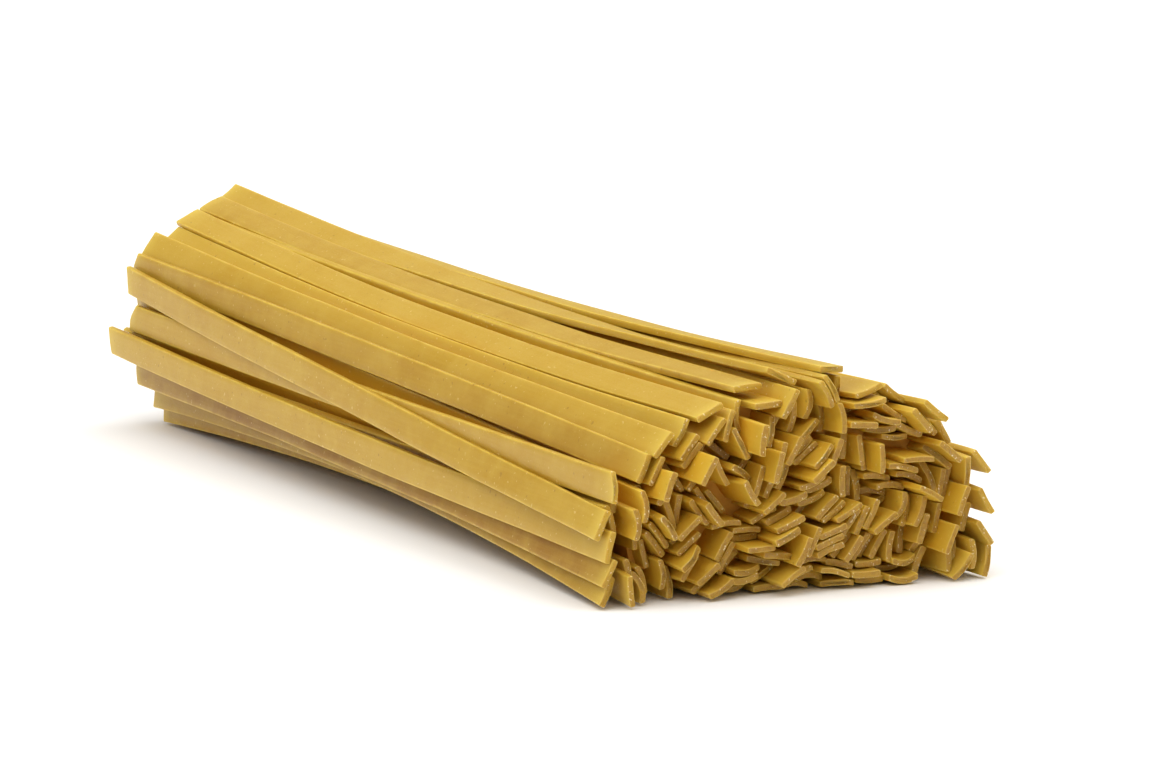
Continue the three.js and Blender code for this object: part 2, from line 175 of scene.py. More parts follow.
PAINTED_GLOW_COLOUR = "#e8b018"      # painted glow between strands, by their cuts
PAINTED_SHADE_COLOUR = "#d4930f"       # painted shade, far behind them
FLOUR_COLOUR = "#eedd9a"
BRAN_COLOUR = "#8a5f18"

# Camera, in the design frame of the sizes above.
CAMERA_AT = (1346.172, -604.642, 257.321)
CAMERA_LOOK = (-0.899, 0.409, -0.156)
PHOTO_WIDTH = 1152
FOCAL_PIXELS = 7000
SENSOR = 36.0

# Studio, in metres: the half width of the floor, the light from all round, and the
# lights with the way to each, its strength and how many degrees wide it is.
FLOOR_HALF = 8.0
ROOM_LIGHT = 0.38
LIGHTS = (
    ("overhead", (0.1, 0.1, 1.0), 2.1, 100.0),
    ("key", (0.1, 0.5, 0.95), 0.45, 40.0),
    ("fill", (0.35, -0.8, 0.95), 0.97, 60.0),
)


# ---- small helpers -------------------------------------------------------------

def make_draw(seed):
    """Seeded draws from 0 to 1, the same on every run."""
    mask = 0xFFFFFFFF
    state = [seed & mask]

    def draw():
        state[0] = (state[0] + 0x6D2B79F5) & mask
        t = state[0]
        t = ((t ^ (t >> 15)) * (t | 1)) & mask
        t ^= (t + (((t ^ (t >> 7)) * (t | 61)) & mask)) & mask
        return ((t ^ (t >> 14)) & mask) / 4294967296

    return draw


def lerp(a, b, t):
    return a + (b - a) * t


def colour(hex_code):
    """Linear RGBA from an sRGB hex code."""
    channels = [int(hex_code[i:i + 2], 16) / 255 for i in (1, 3, 5)]
    linear = [c / 12.92 if c <= 0.04045 else ((c + 0.055) / 1.055) ** 2.4 for c in channels]
    return (*linear, 1.0)


def reach_at(outline, angle):
    """Reach of an outline in the direction of an angle, or of an array of them."""
    reach = np.array(outline["reach"], float)
    turn = np.mod(np.asarray(angle) / (2 * np.pi), 1.0) * len(reach)
    k = np.floor(turn).astype(int) % len(reach)
    return lerp(reach[k], reach[(k + 1) % len(reach)], turn - np.floor(turn))


# ---- where the strands lie -----------------------------------------------------

def stack_patches(draw):
    """Rows of strands stacked in each patch, kept where that patch is nearest."""
    seeds = []
    cy, cz = NEAR_END["centre"]
    for patch, (py, pz, lean) in enumerate(PATCHES):
        a = math.radians(lean)
        for row in range(-6, 7):
            for col in range(-4, 5):
                u = col * ROW_PITCH + (0.5 * ROW_PITCH * ROW_STAGGER if row % 2 else 0.0)
                v = row * STACK_PITCH
                y = py + u * math.cos(a) - v * math.sin(a) + (draw() - 0.5) * PLACE_SPREAD
                z = pz + u * math.sin(a) + v * math.cos(a) + (draw() - 0.5) * PLACE_SPREAD
                turn = (draw() - 0.5) * LEAN_SPREAD
                room = reach_at(NEAR_END, math.atan2(z - cz, y - cy)) - EDGE_ROOM
                if math.hypot(y - cy, z - cz) >= room:
                    continue
                gaps = [math.hypot(y - p[0], z - p[1]) for p in PATCHES]
                nearest = all(g >= gaps[patch] for i, g in enumerate(gaps) if i != patch)
                free = all(math.hypot(y - s[0], z - s[1]) > SHOWN_ROOM for s in SHOWN)
                if nearest and free:
                    seeds.append((y, z, lean + turn))
    return seeds


def carry_to(outline, y, z, swing, out):
    """A place of the near end in another outline, swung and moved out by a little."""
    ny, nz = NEAR_END["centre"]
    angle = math.atan2(z - nz, y - ny)
    part = math.hypot(y - ny, z - nz) / reach_at(NEAR_END, angle)
    r = min(0.95, part + out) * reach_at(outline, angle + swing)
    cy, cz = outline["centre"]
    return cy + r * math.cos(angle + swing), cz + r * math.sin(angle + swing)


def first_strands():
    """Arrays of every strand's ends, bow, width and so on, before they settle."""
    draw = make_draw(SEED)
    near, far, bow, ends, held = [], [], [], [], []
    for ny, nz, na, fy, fz, fa, across, up, out, back in SHOWN:
        near.append((ny, nz, math.radians(na)))
        far.append((fy, fz, math.radians(fa)))
        bow.append((across, up, 0.0))
        ends.append((NEAR_X + out, FAR_X - back))
        held.append(SHOWN_GIVE)
    for y, z, lean in stack_patches(draw):
        swing = (draw() - 0.5) * SWING_SPREAD
        out = (draw() - 0.5) * OUT_SPREAD
        fy, fz = carry_to(FAR_END, y, z, swing, out)
        hy, hz = carry_to(HALF_WAY, y, z, swing / 2, out / 2)
        a = math.radians(lean)
        high = 1 + SCATTER_HIGH * min(1.0, max(0.0, (z - 12) / 20))
        shift = (draw() + draw() - 1) * 1.6 * END_SCATTER * high
        near.append((y, z, a))
        far.append((fy, fz, a + (draw() - 0.5) * TWIST_SPREAD))
        bow.append((hy - (y + fy) / 2, hz - (z + fz) / 2, 0.0))
        ends.append((NEAR_X + shift, FAR_X + shift + (draw() - 0.5) * END_SCATTER))
        held.append(1.0)
    width, thick, skew = [], [], []
    for _ in near:
        width.append(STRAND_WIDTH + (draw() + draw() - 1) * WIDTH_SPREAD)
        thick.append(STRAND_THICK + (draw() - 0.5) * THICK_SPREAD)
        skew.append(((draw() - 0.5) * SKEW_SPREAD, (draw() - 0.5) * SKEW_SPREAD))
    arrays = dict(
        near=near, far=far, bow=bow, ends=ends, held=held, width=width, thick=thick, skew=skew
    )
    return {name: np.array(values, float) for name, values in arrays.items()}


def place_at(strands, s):
    """y, z and lean of every strand at a station from -1, far, to 1, near."""
    return lerp(strands["far"], strands["near"], (s + 1) / 2) + strands["bow"] * (1 - s * s)


def push(moves, i, at, points, normals, amounts):
    """Add a push at a point of strand i to its moves in y, z and lean."""
    lever = points - at[i]
    np.add.at(moves[:, 0], i, normals[:, 0] * amounts)
    np.add.at(moves[:, 1], i, normals[:, 1] * amounts)
    turn = lever[:, 0] * normals[:, 1] - lever[:, 1] * normals[:, 0]
    np.add.at(moves[:, 2], i, turn * amounts / 12)


def closest_points(p, q, ap, aq, hp, hq):
    """Closest points of the mid lines of strands p and q, and the gap."""
    best = None
    dp = np.stack([np.cos(ap), np.sin(ap)], 1)
    dq = np.stack([np.cos(aq), np.sin(aq)], 1)
    for c, dc, hc, o, do, ho, swapped in (
        (p, dp, hp, q, dq, hq, False), (q, dq, hq, p, dp, hp, True),
    ):
        for k in (-1, 1):
            end = c + k * hc[:, None] * dc
            t = np.clip(((end - o) * do).sum(1), -ho, ho)
            foot = o + t[:, None] * do
            gap = np.hypot(*(end - foot).T)
            on_p, on_q = (foot, end) if swapped else (end, foot)
            if best is None:
                best = [gap, on_p, on_q]
                continue
            closer = gap < best[0]
            best = [
                np.where(closer, gap, best[0]),
                np.where(closer[:, None], on_p, best[1]),
                np.where(closer[:, None], on_q, best[2]),
            ]
    return best


def lines_cross(p, q, ap, aq, hp, hq):
    """Whether the mid lines of strands p and q cross."""
    det = np.sin(aq - ap)
    safe = np.where(np.abs(det) < 1e-6, 1.0, det)
    d = q - p
    t = (d[:, 0] * np.sin(aq) - d[:, 1] * np.cos(aq)) / safe
    u = (d[:, 0] * np.sin(ap) - d[:, 1] * np.cos(ap)) / safe
    return (np.abs(det) >= 1e-6) & (np.abs(t) < hp) & (np.abs(u) < hq)


def settle(strands):
    """Push overlapping strands apart, and all of them inside the outline."""
    half = (strands["width"] - strands["thick"]) / 2
    thick, held = strands["thick"], strands["held"]
    first, second = np.triu_indices(len(half), 1)
    outlines = {-1.0: FAR_END, 0.0: HALF_WAY, 1.0: NEAR_END}
    for _ in range(SETTLE_STEPS):
        for s in SETTLE_STATIONS:
            place = place_at(strands, s)
            at, lean = place[:, :2], place[:, 2]
            moves = np.zeros_like(place)
            apart = at[first] - at[second]
            far = np.hypot(apart[:, 0], apart[:, 1])
            close = far <= STRAND_WIDTH + 1.5
            i, j, apart, far = first[close], second[close], apart[close], far[close]
            need = (thick[i] + thick[j]) / 2 + CLEARANCE
            cross = lines_cross(at[i], at[j], lean[i], lean[j], half[i], half[j])
            gap, on_i, on_j = closest_points(at[i], at[j], lean[i], lean[j], half[i], half[j])
            n = (on_i - on_j) / (gap + 1e-6)[:, None]
            n = np.where(cross[:, None], apart / (far + 1e-6)[:, None], n)
            amount = np.where(cross, need / 3, np.maximum(0.0, need - gap) / 3)
            on_i = np.where(cross[:, None], at[i], on_i)
            on_j = np.where(cross[:, None], at[j], on_j)
            push(moves, i, at, on_i, n, amount)
            push(moves, j, at, on_j, -n, amount)
            every = np.arange(len(half))
            for k in (-1, 1):
                tip = at + k * half[:, None] * np.stack([np.cos(lean), np.sin(lean)], 1)
                low = np.maximum(0.0, thick / 2 - tip[:, 1])
                push(moves, every, at, tip, np.tile([0.0, 1.0], (len(half), 1)), low * 0.7)
                outline = outlines.get(s)
                if not outline:
                    continue
                o = tip - np.array(outline["centre"])
                out = np.hypot(o[:, 0], o[:, 1])
                over = out - reach_at(outline, np.arctan2(o[:, 1], o[:, 0])) + thick / 2
                over = np.where(held < 1, 0.0, np.maximum(0.0, over))
                push(moves, every, at, tip, -o / out[:, None], over * 0.5)
            moves = np.clip(moves, -SETTLE_MOST, SETTLE_MOST) * held[:, None]
            strands["near"] += moves * (1 + s) / 2
            strands["far"] += moves * (1 - s) / 2
            bow = strands["bow"] + moves * (1 - s * s) * 0.3
            strands["bow"] = np.clip(bow, -MOST_BOW, MOST_BOW)
    return strands


def sections_at(strands, s):
    """The four corners of every strand's section at a station."""
    y, z, lean = place_at(strands, s).T
    w, t = strands["width"] / 2, strands["thick"] / 2
    corners = []
    for ku, kv in ((-1, -1), (1, -1), (1, 1), (-1, 1)):
        u, v = ku * w, kv * t
        corners.append((
            y + u * np.cos(lean) - v * np.sin(lean),
            z + u * np.sin(lean) + v * np.cos(lean),
        ))
    return np.array(corners).transpose(2, 0, 1)


def bundle_centre(strands):
    """The point of the design frame that is the model's origin."""
    low, high = np.full(3, np.inf), np.full(3, -np.inf)
    for s in SETTLE_STATIONS:
        x = lerp(strands["ends"][:, 1], strands["ends"][:, 0], (s + 1) / 2)
        corners = sections_at(strands, s)
        for values, axis in ((x, 0), (corners[:, :, 0], 1), (corners[:, :, 1], 2)):
            low[axis] = min(low[axis], values.min())
            high[axis] = max(high[axis], values.max())
    return np.array([(low[0] + high[0]) / 2, (low[1] + high[1]) / 2, low[2]])


# ---- nodes -----------------------------------------------------------------------

def feed(tree, socket, value):
    """Set a socket, or link it to a socket or to another node's output in use."""
    if isinstance(value, bpy.types.Node):
        value = next(s for s in value.outputs if s.enabled)
    if isinstance(value, bpy.types.NodeSocket):
        tree.links.new(value, socket)
    else:
        socket.default_value = value


def add(tree, kind, feeds=None, **settings):
    """Add a node, with its settings by name and its sockets fed by identifier."""
    node = tree.nodes.new(kind)
    for key, value in settings.items():
        setattr(node, key, value)
    for key, value in (feeds or {}).items():
        feed(tree, next(s for s in node.inputs if s.identifier == key), value)
    return node


# ---- the strands' paths ----------------------------------------------------------

def stations(rings, crowd):
    """Stations along a strand, closer together towards its two ends."""
    t = np.linspace(-1, 1, rings)
    return np.sign(t) * (1 - (1 - np.abs(t)) ** crowd)


def in_outer_layer(strands):
    """Whether each strand comes near the outline anywhere along the bundle."""
    outer = strands["held"] < 1
    for s, outline in ((-1.0, FAR_END), (0.0, HALF_WAY), (1.0, NEAR_END)):
        place = place_at(strands, s)[:, :2] - np.array(outline["centre"])
        reach = reach_at(outline, np.arctan2(place[:, 1], place[:, 0]))
        outer |= np.hypot(place[:, 0], place[:, 1]) > OUTER_PART * reach
    return outer


def waves(draw, s, count, longest, shortest, size):
    """A smooth wander along the strand: a few sines of drawn length and phase."""
    total = np.zeros_like(s)
    for _ in range(count):
        length = lerp(shortest, longest, draw())
        phase = draw() * 2 * math.pi
        wave = np.sin(s * STRAND_LENGTH * math.pi / length + phase)
        total += size * (draw() - 0.5) * 2 * wave / count
    return total


def strand_path(draw, one, rings, crowd):
    """One strand's path, with what its section needs at each point. The path has a
    second point at each cut, for the flat middle of the cut face."""
    s = np.concatenate([[-1], stations(rings, crowd), [1]])
    place = lerp(one["far"], one["near"], (s[:, None] + 1) / 2)
    place = place + one["bow"] * (1 - s * s)[:, None]
    sway = 0.35 * (1 - s ** 8)
    middle = np.array([
        lerp(one["ends"][1], one["ends"][0], (s + 1) / 2),
        place[:, 0] + waves(draw, s, 2, 190, 70, 0.5) * sway,
        place[:, 1] + waves(draw, s, 2, 190, 70, 0.5) * sway,
    ]).T
    # the strands of a stack are arched alike
    ny, nz, na = one["near"]
    arch = math.sin(0.16 * ny + 0.9) * math.cos(0.19 * nz - 0.4) * math.cos(2 * na)
    arch = arch * MOST_ARCH + (draw() - 0.5) * 0.22
    if one["held"] < 1:
        arch = (draw() - 0.5) * 0.3
    cut_gap = np.minimum(one["ends"][0] - middle[:, 0], middle[:, 0] - one["ends"][1])
    pinch = 1 - (0.08 + 0.2 * draw()) * np.exp(-cut_gap / PINCH_REACH)
    at_far, at_near = np.zeros_like(s), np.zeros_like(s)
    at_far[:2], at_near[-2:] = 1, 1
    inner = np.zeros_like(s)
    inner[[0, -1]] = 1
    chips = []
    for _ in range(2):
        size, side = draw(), 1 if draw() < 0.5 else -1
        chips.append(side * (0.8 + 7 * size) if size < CHIPPED_PART else 0.0)
    return {
        "middle": middle,
        "lean": place[:, 2] + waves(draw, s, 2, 160, 60, math.radians(3.0)),
        "wide": one["width"] * (1 + waves(draw, s, 3, 60, 18, 0.02)) * MM,
        "thick": one["thick"] * (1 + waves(draw, s, 2, 50, 18, 0.05)) * pinch * MM,
        "arch": arch * (0.35 + 0.65 * s ** 2) * MM,
        "slant": (at_near * one["skew"][0] + at_far * one["skew"][1]) / 2 * MM,
        "chip": (at_near * chips[0] + at_far * chips[1]) * MM,
        "inward": at_far - at_near,
        "inner": inner,
        # a strand's tone: drawn at random, and darker with painted shade where it lies low in the
        # bundle
        "tone_and_low_shade": np.full_like(s, 0.55 * draw() + 0.45 * min(1.0, nz / 22)),
        "cut_gap": cut_gap,
    }


def path_mesh(strands, centre):
    """The paths of all the strands, each one a chain of edges from far to near."""
    draw = make_draw(SEED + 1)
    outer = in_outer_layer(strands)
    paths = []
    for i in range(len(outer)):
        one = {name: values[i] for name, values in strands.items()}
        rings, crowd = (OUTER_RINGS, 1.25) if outer[i] else (INNER_RINGS, 2.2)
        paths.append(strand_path(draw, one, rings, crowd))
    points = (np.concatenate([path.pop("middle") for path in paths]) - centre) * MM
    strand = np.repeat(np.arange(len(paths)), [len(path["lean"]) for path in paths])
    links = [(k, k + 1) for k in range(len(points) - 1) if strand[k] == strand[k + 1]]
    mesh = bpy.data.meshes.new("strand_paths")
    mesh.from_pydata([tuple(p) for p in points], links, [])
    for name in paths[0]:
        values = np.concatenate([path[name] for path in paths])
        mesh.attributes.new(name, "FLOAT", "POINT").data.foreach_set("value", values)
    return mesh


def strand_tree():
    """Node tree that makes a flat bar with rounded edges along each path, turns and
    arches its section as the path says, and cuts its ends a little ragged."""
    tree = bpy.data.node_groups.new("strands_on_paths", "GeometryNodeTree")
    for name, kind in (
        ("Paths", "Geometry"), ("Strand width", "Float"), ("Strand thickness", "Float"),
        ("Edge radius", "Float"), ("Corner steps", "Int"), ("Face points", "Int"),
        ("Cut rim", "Float"), ("Cut round", "Float"), ("Cut roughness", "Float"),
        ("Seed", "Int"), ("Dough", "Material"), ("Cut dough", "Material"),
    ):
        tree.interface.new_socket(name, in_out="INPUT", socket_type="NodeSocket" + kind)
    tree.interface.new_socket("Strands", in_out="OUTPUT", socket_type="NodeSocketGeometry")
    given = add(tree, "NodeGroupInput").outputs
    carried = {
        name: add(tree, "GeometryNodeInputNamedAttribute", {"Name": name}, data_type="FLOAT")
        for name in ("lean", "wide", "thick", "arch", "slant", "chip", "inward", "inner", "tone_and_low_shade")
    }
    place = add(tree, "GeometryNodeInputPosition")

    # the section: a flat bar, its corners rounded, with points across its broad faces
    bar = add(
        tree, "GeometryNodeCurvePrimitiveQuadrilateral",
        {"Width": given["Strand width"], "Height": given["Strand thickness"]}, mode="RECTANGLE",
    )
    bar = add(
        tree, "GeometryNodeFilletCurve",
        {"Curve": bar, "Count": given["Corner steps"], "Radius": given["Edge radius"]}, mode="POLY",
    )
    two_corners = add(
        tree, "FunctionNodeIntegerMath",
        {"Value": given["Corner steps"], "Value_001": 2, "Value_002": 2}, operation="MULTIPLY_ADD",
    )
    in_pair = add(
        tree, "FunctionNodeIntegerMath",
        {"Value": add(tree, "GeometryNodeInputIndex"), "Value_001": two_corners}, operation="MODULO",
    )
    starts_face = add(
        tree, "FunctionNodeCompare", {"A_INT": in_pair, "B_INT": given["Corner steps"]},
        data_type="INT", operation="EQUAL",
    )
    cuts = add(
        tree, "FunctionNodeIntegerMath",
        {"Value": starts_face, "Value_001": given["Face points"]}, operation="MULTIPLY",
    )
    bar = add(tree, "GeometryNodeSubdivideCurve", {"Curve": bar, "Cuts": cuts})
    bar = add(
        tree, "GeometryNodeStoreNamedAttribute",
        {"Geometry": bar, "Name": "section", "Value": place}, data_type="FLOAT_VECTOR",
    )

    # the bar drawn along every path
    line = add(tree, "GeometryNodeMeshToCurve", {"Mesh": given["Paths"]})
    line = add(
        tree, "GeometryNodeStoreNamedAttribute",
        {"Geometry": line, "Name": "middle", "Value": place}, data_type="FLOAT_VECTOR",
    )
    strands = add(
        tree, "GeometryNodeCurveToMesh", {"Curve": line, "Profile Curve": bar, "Fill Caps": True}
    )
    section, middle = [
        add(tree, "GeometryNodeInputNamedAttribute", {"Name": name}, data_type="FLOAT_VECTOR")
        for name in ("section", "middle")
    ]

    # place in the section, in parts of its width and thickness, then in its true size
    mean_size = add(
        tree, "ShaderNodeCombineXYZ",
        {"X": given["Strand width"], "Y": given["Strand thickness"], "Z": 1.0},
    )
    part = add(
        tree, "ShaderNodeVectorMath", {"Vector": section, "Vector_001": mean_size}, operation="DIVIDE"
    )
    size = add(tree, "ShaderNodeCombineXYZ", {"X": carried["wide"], "Y": carried["thick"]})
    rim = add(
        tree, "ShaderNodeMath", {"Value": carried["inner"], "Value_001": given["Cut rim"]},
        operation="MULTIPLY",
    )
    size = add(
        tree, "ShaderNodeVectorMath",
        {"Vector": rim, "Vector_001": (-2.0, -2.0, 0.0), "Vector_002": size},
        operation="MULTIPLY_ADD",
    )
    flat = add(
        tree, "ShaderNodeVectorMath", {"Vector": part, "Vector_001": size}, operation="MULTIPLY"
    )
    flat = add(tree, "ShaderNodeSeparateXYZ", {"Vector": flat}).outputs
    across = add(tree, "ShaderNodeSeparateXYZ", {"Vector": part}).outputs["X"]
    across = add(tree, "ShaderNodeMath", {"Value": across, "Value_001": 2.0}, operation="MULTIPLY")
    sagged = add(
        tree, "ShaderNodeMath", {"Value": across, "Value_001": across}, operation="MULTIPLY"
    )
    sagged = add(tree, "ShaderNodeMath", {"Value": 0.4, "Value_001": sagged}, operation="SUBTRACT")
    risen = add(
        tree, "ShaderNodeMath",
        {"Value": carried["arch"], "Value_001": sagged, "Value_002": flat["Y"]},
        operation="MULTIPLY_ADD",
    )

    # the cut: slanted, ragged, with worn edges, and a corner gone where the path says so
    lost = add(
        tree, "ShaderNodeMath", {"Value": carried["chip"], "Value_001": across}, operation="MULTIPLY"
    )
    lost = add(tree, "ShaderNodeMath", {"Value": lost, "Value_001": 0.0}, operation="MAXIMUM")
    grain = add(
        tree, "ShaderNodeVectorMath", {"Vector": part, "Vector_001": carried["tone_and_low_shade"]}, operation="ADD"
    )
    grain = add(
        tree, "ShaderNodeTexWhiteNoise", {"Vector": grain, "W": given["Seed"]}, noise_dimensions="4D"
    )
    worn = add(
        tree, "ShaderNodeMath", {"Value": 1.0, "Value_001": carried["inner"]}, operation="SUBTRACT"
    )
    for amount, length in ((grain, given["Cut roughness"]), (worn, given["Cut round"])):
        lost = add(
            tree, "ShaderNodeMath", {"Value": amount, "Value_001": length, "Value_002": lost},
            operation="MULTIPLY_ADD",
        )
    slanted = add(
        tree, "ShaderNodeMath", {"Value": carried["slant"], "Value_001": across}, operation="MULTIPLY"
    )
    slanted = add(tree, "ShaderNodeMath", {"Value": slanted, "Value_001": -1.0}, operation="MULTIPLY")
    along = add(
        tree, "ShaderNodeMath",
        {"Value": carried["inward"], "Value_001": lost, "Value_002": slanted},
        operation="MULTIPLY_ADD",
    )
    offset = add(tree, "ShaderNodeCombineXYZ", {"X": along, "Y": flat["X"], "Z": risen})
    offset = add(
        tree, "ShaderNodeVectorRotate", {"Vector": offset, "Angle": carried["lean"]},
        rotation_type="X_AXIS",
    )
    at = add(tree, "ShaderNodeVectorMath", {"Vector": middle, "Vector_001": offset}, operation="ADD")
    strands = add(tree, "GeometryNodeSetPosition", {"Geometry": strands, "Position": at})

    # for the material: the place in the section in halves of its size, and the rim
    # of the cut, from 1 at its edge to 0 where its flat middle begins
    marks = add(tree, "ShaderNodeCombineXYZ", {"Z": worn})
    marks = add(
        tree, "ShaderNodeVectorMath",
        {"Vector": part, "Vector_001": (2.0, 2.0, 0.0), "Vector_002": marks},
        operation="MULTIPLY_ADD",
    )
    strands = add(
        tree, "GeometryNodeStoreNamedAttribute",
        {"Geometry": strands, "Name": "across_up_rim", "Value": marks}, data_type="FLOAT_VECTOR",
    )
    strands = add(tree, "GeometryNodeRealizeInstances", {"Geometry": strands})
    strands = add(
        tree, "GeometryNodeSetMaterial", {"Geometry": strands, "Material": given["Dough"]}
    )
    cut = add(tree, "ShaderNodeMath", {"Value": carried["inward"]}, operation="ABSOLUTE")
    cut = add(tree, "ShaderNodeMath", {"Value": cut, "Value_001": 0.99}, operation="GREATER_THAN")
    strands = add(
        tree, "GeometryNodeSetMaterial",
        {"Geometry": strands, "Selection": cut, "Material": given["Cut dough"]},
    )
    feed(tree, add(tree, "NodeGroupOutput").inputs["Strands"], strands)
    return tree


def shade_at(x, y, z):
    """How far points lie under the bundle's skin, from 0 to 1: the skin is the
    farthest point out in each short length and narrow wedge of the bundle."""
    t = (x - FAR_X) / STRAND_LENGTH
    oy, oz = [
        v - lerp(FAR_END["centre"][i], NEAR_END["centre"][i], t) for i, v in enumerate((y, z))
    ]
    out = np.hypot(oy, oz)
    lengths, wedges = SKIN_LENGTHS, SKIN_WEDGES
    along = np.clip(t * lengths, 0, lengths - 1e-6)
    around = (np.arctan2(oz, oy) / (2 * math.pi) % 1) * wedges
    skin = np.zeros((lengths, wedges))
    np.maximum.at(skin, (along.astype(int), around.astype(int) % wedges), out)
    skin = (np.roll(skin, 1, 1) + 2 * skin + np.roll(skin, -1, 1)) / 4
    # smooth from one wedge and length to the next
    i, u = np.divmod(np.clip(along - 0.5, 0, lengths - 1.001), 1)
    k, v = np.divmod(around - 0.5, 1)
    i, k = i.astype(int), k.astype(int)
    near = lerp(skin[i, k % wedges], skin[i + 1, k % wedges], u)
    far = lerp(skin[i, (k + 1) % wedges], skin[i + 1, (k + 1) % wedges], u)
    return np.clip((lerp(near, far, v) - out - SKIN) / SHADE_IN, 0, 1)


def strand_mesh(strands, centre, dough, cut_dough):
    """All the strands in one plain mesh, made from their paths by the node tree."""
    holder = bpy.data.objects.new("strand_paths", path_mesh(strands, centre))
    bpy.context.scene.collection.objects.link(holder)
    modifier = holder.modifiers.new("strands", "NODES")
    modifier.node_group = strand_tree()
    sizes = {
        "Strand width": STRAND_WIDTH * MM,
        "Strand thickness": STRAND_THICK * MM,
        "Edge radius": CORNER_ROUND * MM,
        "Corner steps": CORNER_STEPS,
        "Face points": FACE_POINTS,
        "Cut rim": CUT_RIM * MM,
        "Cut round": CUT_ROUND * MM,
        "Cut roughness": CUT_ROUGHNESS * MM,
        "Seed": SEED,
        "Dough": dough,
        "Cut dough": cut_dough,
    }
    for socket in modifier.node_group.interface.items_tree:
        if socket.name in sizes:
            modifier[socket.identifier] = sizes[socket.name]
    depsgraph = bpy.context.evaluated_depsgraph_get()
    mesh = bpy.data.meshes.new_from_object(
        holder.evaluated_get(depsgraph), preserve_all_data_layers=True, depsgraph=depsgraph
    )
    holder.modifiers.remove(modifier)
    bpy.data.objects.remove(holder)
    mesh.name = "fettuccine_strands"

    count = len(mesh.vertices)
    places, cut_gap = np.empty(count * 3), np.empty(count)
    mesh.vertices.foreach_get("co", places)
    mesh.attributes["cut_gap"].data.foreach_get("value", cut_gap)
    places = places.reshape(-1, 3) / MM + centre
    inside = shade_at(*places.T)
    behind = np.clip(cut_gap / SHADE_BACK, 0, 1)
    low = np.clip(1 - places[:, 2] / SHADE_LOW, 0, 1)
    # marks for painted light and shade: inside browns the cut faces deep in the bundle and near the
    # floor, depth paints amber shade and glow between strands, tip a painted glow by a cut
    for name, values in (
        ("inside", np.maximum(inside, 0.7 * low)),
        ("depth", inside * (0.2 + 0.8 * behind)),
        ("behind", behind),
        ("tip", np.exp(-np.maximum(cut_gap, 0) / PAINTED_TIP_GLOW) * (1 - 0.5 * inside)),
    ):
        mesh.attributes.new(name, "FLOAT", "POINT").data.foreach_set("value", values)
    for name in [a.name for a in mesh.attributes if a.name in HELPERS]:
        mesh.attributes.remove(mesh.attributes[name])
    mesh.shade_smooth()
    mesh.set_sharp_from_angle(angle=math.radians(SHARP_FROM))
    return mesh


def core_mesh(centre):
    """A hidden core that keeps daylight from passing between the strands."""
    sides, rings = CORE_SIDES, CORE_RINGS
    far_middle, near_middle = [np.array(o["centre"], float) for o in (FAR_END, NEAR_END)]
    verts, faces = [], []
    for x in np.linspace(FAR_X + CORE_RECESS, NEAR_X - CORE_RECESS, rings):
        s = 2 * (x - FAR_X) / STRAND_LENGTH - 1
        middle = lerp(far_middle, near_middle, (s + 1) / 2)
        for k in range(sides):
            angle = 2 * math.pi * k / sides
            ends = [reach_at(o, angle) for o in (FAR_END, HALF_WAY, NEAR_END)]
            straight = lerp(ends[0], ends[2], (s + 1) / 2)
            reach = straight + (ends[1] - (ends[0] + ends[2]) / 2) * (1 - s * s)
            reach = float(reach) * 0.9 - CORE_SHRINK
            y = middle[0] + reach * math.cos(angle)
            z = max(CORE_LOW, middle[1] + reach * math.sin(angle))
            verts.append(tuple((np.array([x, y, z]) - centre) * MM))
    for ring in range(rings - 1):
        for k in range(sides):
            a = ring * sides + k
            b = ring * sides + (k + 1) % sides
            faces.append((a, b, b + sides, a + sides))
    faces.append(tuple(reversed(range(sides))))
    faces.append(tuple((rings - 1) * sides + k for k in range(sides)))
    mesh = bpy.data.meshes.new("bundle_core")
    mesh.from_pydata(verts, [], faces)
    return mesh


# ---- materials ----------------------------------------------------------------------

def per(size):
    """Scale of a pattern whose features are this many millimetres apart."""
    return 1 / (size * MM)


def new_material(name):
    material = bpy.data.materials.new(name)
    material.use_nodes = True
    return material, material.node_tree, material.node_tree.nodes["Principled BSDF"]


def lay_over(tree, base, layers):
    """Colours laid over a base: by what amount, the values of it from which each
    begins and at which it is full, how strong it is there, and the colour."""
    for amount, low, high, most, over in layers:
        part = add(
            tree, "ShaderNodeMapRange",
            {"Value": amount, "From Min": low, "From Max": high, "To Max": most},
        )
        base = add(
            tree, "ShaderNodeMix", {"Factor_Float": part, "A_Color": base, "B_Color": over},
            data_type="RGBA",
        )
    return base


def let_light_in(shader):
    """Dry pasta is a glassy starch: light goes a little way into it, and its surface
    shines only softly."""
    shader.inputs["Subsurface Weight"].default_value = GLOW_PART
    shader.inputs["Subsurface Radius"].default_value = GLOW_BY_COLOUR
    shader.inputs["Subsurface Scale"].default_value = GLOW_REACH * MM
    shader.inputs["Specular IOR Level"].default_value = 0.4
    shader.inputs["IOR"].default_value = 1.5


